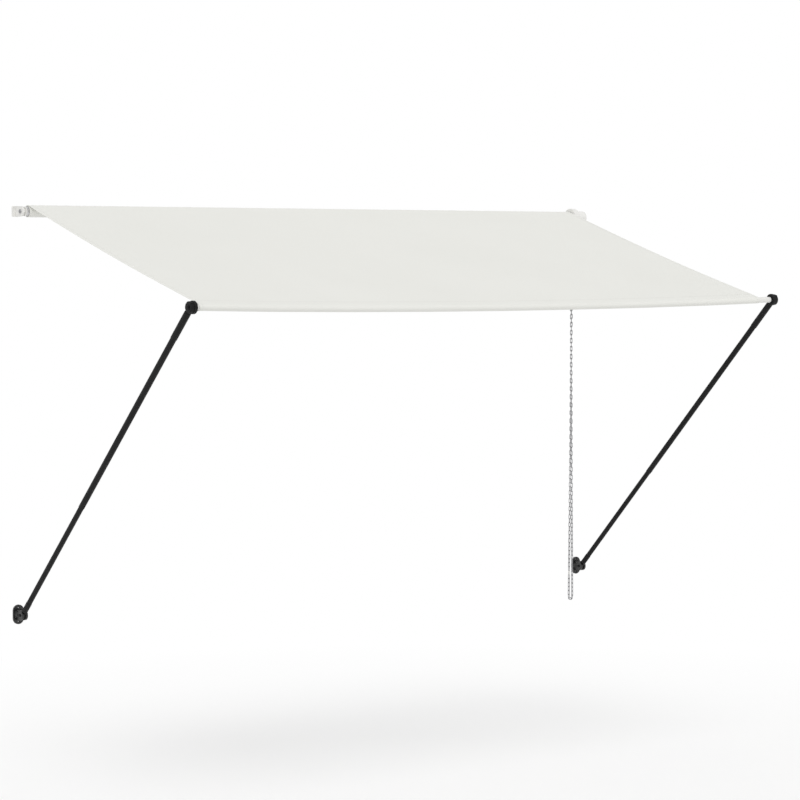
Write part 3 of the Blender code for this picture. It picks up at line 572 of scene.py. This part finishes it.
# Chain
def clamped(value):
    return min(max(value, 0.0), 1.0)


def chain_path():
    """Closed line of the chain's middle, with the angle through which the links have turned.

    The chain goes over the wheel, down both sides, which draw together and turn by a quarter,
    and round the loop's foot.
    """
    cx = SPAN - WHEEL_X
    wheel_r = math.hypot(CHAIN_R, CHAIN_PITCH / 2)
    low = CHAIN_BOTTOM + CHAIN_NARROW
    quarter = math.radians(90)

    def strand(side, z):
        up = clamped((z - low) / (0.0 - low))
        half = CHAIN_NARROW + (wheel_r - CHAIN_NARROW) * up ** NARROWING
        down = clamped((CHAIN_TWIST_TOP - z) / (CHAIN_TWIST_TOP - low))
        first = TWIST_FIRST * min(down * TWIST_FIRST_OVER, 1.0)
        turn = quarter * (first + (1 - TWIST_FIRST) * down * down)
        x = cx + side * half * math.sin(turn)
        y = ROLL_Y + side * half * math.cos(turn)
        return Vector((x, y, z)), turn

    path = []
    for i in range(TOP_STEPS + 1):
        a = math.pi * i / TOP_STEPS
        path.append((Vector((cx, ROLL_Y - wheel_r * math.cos(a), wheel_r * math.sin(a))), 0.0))
    for i in range(1, STRAND_STEPS + 1):
        path.append(strand(1, low * i / STRAND_STEPS))
    for i in range(1, FOOT_STEPS):
        a = math.pi * i / FOOT_STEPS
        x = cx + CHAIN_NARROW * math.cos(a)
        path.append((Vector((x, ROLL_Y, low - CHAIN_NARROW * math.sin(a))), quarter))
    for i in range(STRAND_STEPS, 0, -1):
        path.append(strand(-1, low * i / STRAND_STEPS))
    path.append(path[0])
    return path


def chain_joints():
    """Where each link meets the next one: an even number of places along the chain's line."""
    path = chain_path()
    length = [0.0]
    for (a, _), (b, _) in zip(path, path[1:]):
        length.append(length[-1] + (b - a).length)
    count = 2 * round(length[-1] / CHAIN_PITCH / 2)
    joints = []
    k = 0
    for i in range(count):
        want = length[-1] * i / count
        while length[k + 1] < want:
            k += 1
        f = (want - length[k]) / (length[k + 1] - length[k])
        (a, turn_a), (b, turn_b) = path[k], path[k + 1]
        joints.append((a.lerp(b, f), turn_a + (turn_b - turn_a) * f))
    return joints


def round_link(bm, start, end, plane, even):
    """Bent wire link, its end bows hooked through those of its neighbours."""
    along = (end - start).normalized()
    plane = (plane - along * plane.dot(along)).normalized()
    normal = plane if even else plane.cross(along)
    across = normal.cross(along)
    mid = (start + end) / 2
    straight = (end - start).length / 2 + LINK_WIRE * LINK_BITE - LINK_HALF_W
    rings = []
    for i in range(LINK_STEPS):
        a = 2 * math.pi * (i + 0.5) / LINK_STEPS
        s = math.sin(a)
        c = math.cos(a)
        u = straight * (1 if s > 0 else -1) + LINK_HALF_W * s
        centre = mid + along * u + across * (LINK_HALF_W * c)
        out = along * s + across * c
        ring = []
        for j in range(LINK_SIDES):
            b = 2 * math.pi * j / LINK_SIDES
            wire = out * (LINK_WIRE * math.cos(b)) + normal * (LINK_WIRE * math.sin(b))
            ring.append(bm.verts.new(centre + wire))
        rings.append(ring)
    for i in range(LINK_STEPS):
        one = rings[i]
        two = rings[(i + 1) % LINK_STEPS]
        for j in range(LINK_SIDES):
            k = (j + 1) % LINK_SIDES
            bm.faces.new((one[j], one[k], two[k], two[j]))


def make_chain():
    """All links but the one whose place the barrel takes."""
    joints = chain_joints()
    links = list(zip(joints, joints[1:] + joints[:1]))

    def from_barrel(i):
        mid = (links[i][0][0] + links[i][1][0]) / 2
        other_side = mid.x >= SPAN - WHEEL_X
        return other_side, abs(mid.z - CHAIN_BOTTOM - CONNECTOR_UP)

    barrel_at = min(range(len(links)), key=from_barrel)
    bm = bmesh.new()
    for i, ((start, turn_start), (end, turn_end)) in enumerate(links):
        if i == barrel_at:
            continue
        turn = (turn_start + turn_end) / 2
        plane = Vector((math.cos(turn), -math.sin(turn), 0.0))
        round_link(bm, start, end, plane, i % 2 == 0)
    obj = finish_mesh("chain", bm, angle=60)
    obj.data.materials.append(MATS["zinc"])
    return obj


chain = make_chain()
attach(chain, "wall_parts")
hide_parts("chain_loop")


# Stage
def make_floor():
    """Pale floor that takes the object's shadow and fades into the white surround."""
    bm = bmesh.new()
    bmesh.ops.create_grid(bm, x_segments=2, y_segments=2, size=FLOOR_HALF)
    floor = finish_mesh("floor", bm, smooth=False)
    floor.location = FLOOR_AT
    mat = bpy.data.materials.new("floor")
    mat.use_nodes = True
    mat.node_tree.nodes.clear()
    n = Tree(mat.node_tree)
    distance = n.add("ShaderNodeVectorMath")
    distance.operation = "LENGTH"
    n.feed(distance.inputs[0], n.add("ShaderNodeTexCoord").outputs["Object"])
    fade = n.spread(distance.outputs["Value"], FADE_LEAST, 1.0, FADE_START, FADE_STOP)
    path = n.add("ShaderNodeLightPath").outputs
    seen = n.math("MAXIMUM", path["Is Camera Ray"], path["Is Glossy Ray"])
    seen = n.math("MAXIMUM", seen, path["Is Transmission Ray"])
    pale = n.add("ShaderNodeBsdfDiffuse", Color=FLOOR_TONE)
    white = n.add("ShaderNodeEmission", Color=WHITE)
    mixed = n.mix_shaders(n.math("MULTIPLY", fade, seen), pale, white)
    n.add("ShaderNodeOutputMaterial", Surface=mixed)
    floor.data.materials.append(mat)


def make_surround():
    """World that lights the object evenly and shows plain white."""
    world = bpy.data.worlds.new("surround")
    bpy.context.scene.world = world
    world.use_nodes = True
    world.node_tree.nodes.clear()
    n = Tree(world.node_tree)
    lit = n.add("ShaderNodeBackground", Color=WHITE, Strength=SURROUND)
    shown = n.add("ShaderNodeBackground", Color=WHITE, Strength=1.0)
    path = n.add("ShaderNodeLightPath").outputs
    seen = n.math("MAXIMUM", path["Is Camera Ray"], path["Is Transmission Ray"])
    n.add("ShaderNodeOutputWorld", Surface=n.mix_shaders(seen, lit, shown))


def make_suns():
    for name, energy, angle, towards in SUNS:
        sun = bpy.data.lights.new(name, "SUN")
        sun.energy = energy
        sun.angle = math.radians(angle)
        obj = bpy.data.objects.new(name, sun)
        bpy.context.collection.objects.link(obj)
        obj.rotation_euler = Vector(towards).to_track_quat("Z", "Y").to_euler()


def make_camera():
    data = bpy.data.cameras.new("camera")
    cam = bpy.data.objects.new("camera", data)
    bpy.context.collection.objects.link(cam)
    data.sensor_width = SENSOR_MM
    data.lens = FOCAL_PIXELS / FRAME_PIXELS * SENSOR_MM
    data.clip_start = 0.1
    data.clip_end = 300.0
    cam.location = CAMERA_AT
    cam.rotation_euler = (math.radians(CAMERA_TILT), 0.0, math.radians(CAMERA_PAN))
    bpy.context.scene.camera = cam


make_floor()
make_surround()
make_suns()
make_camera()
bpy.context.scene.view_settings.view_transform = "Standard"

bpy.context.view_layer.update()
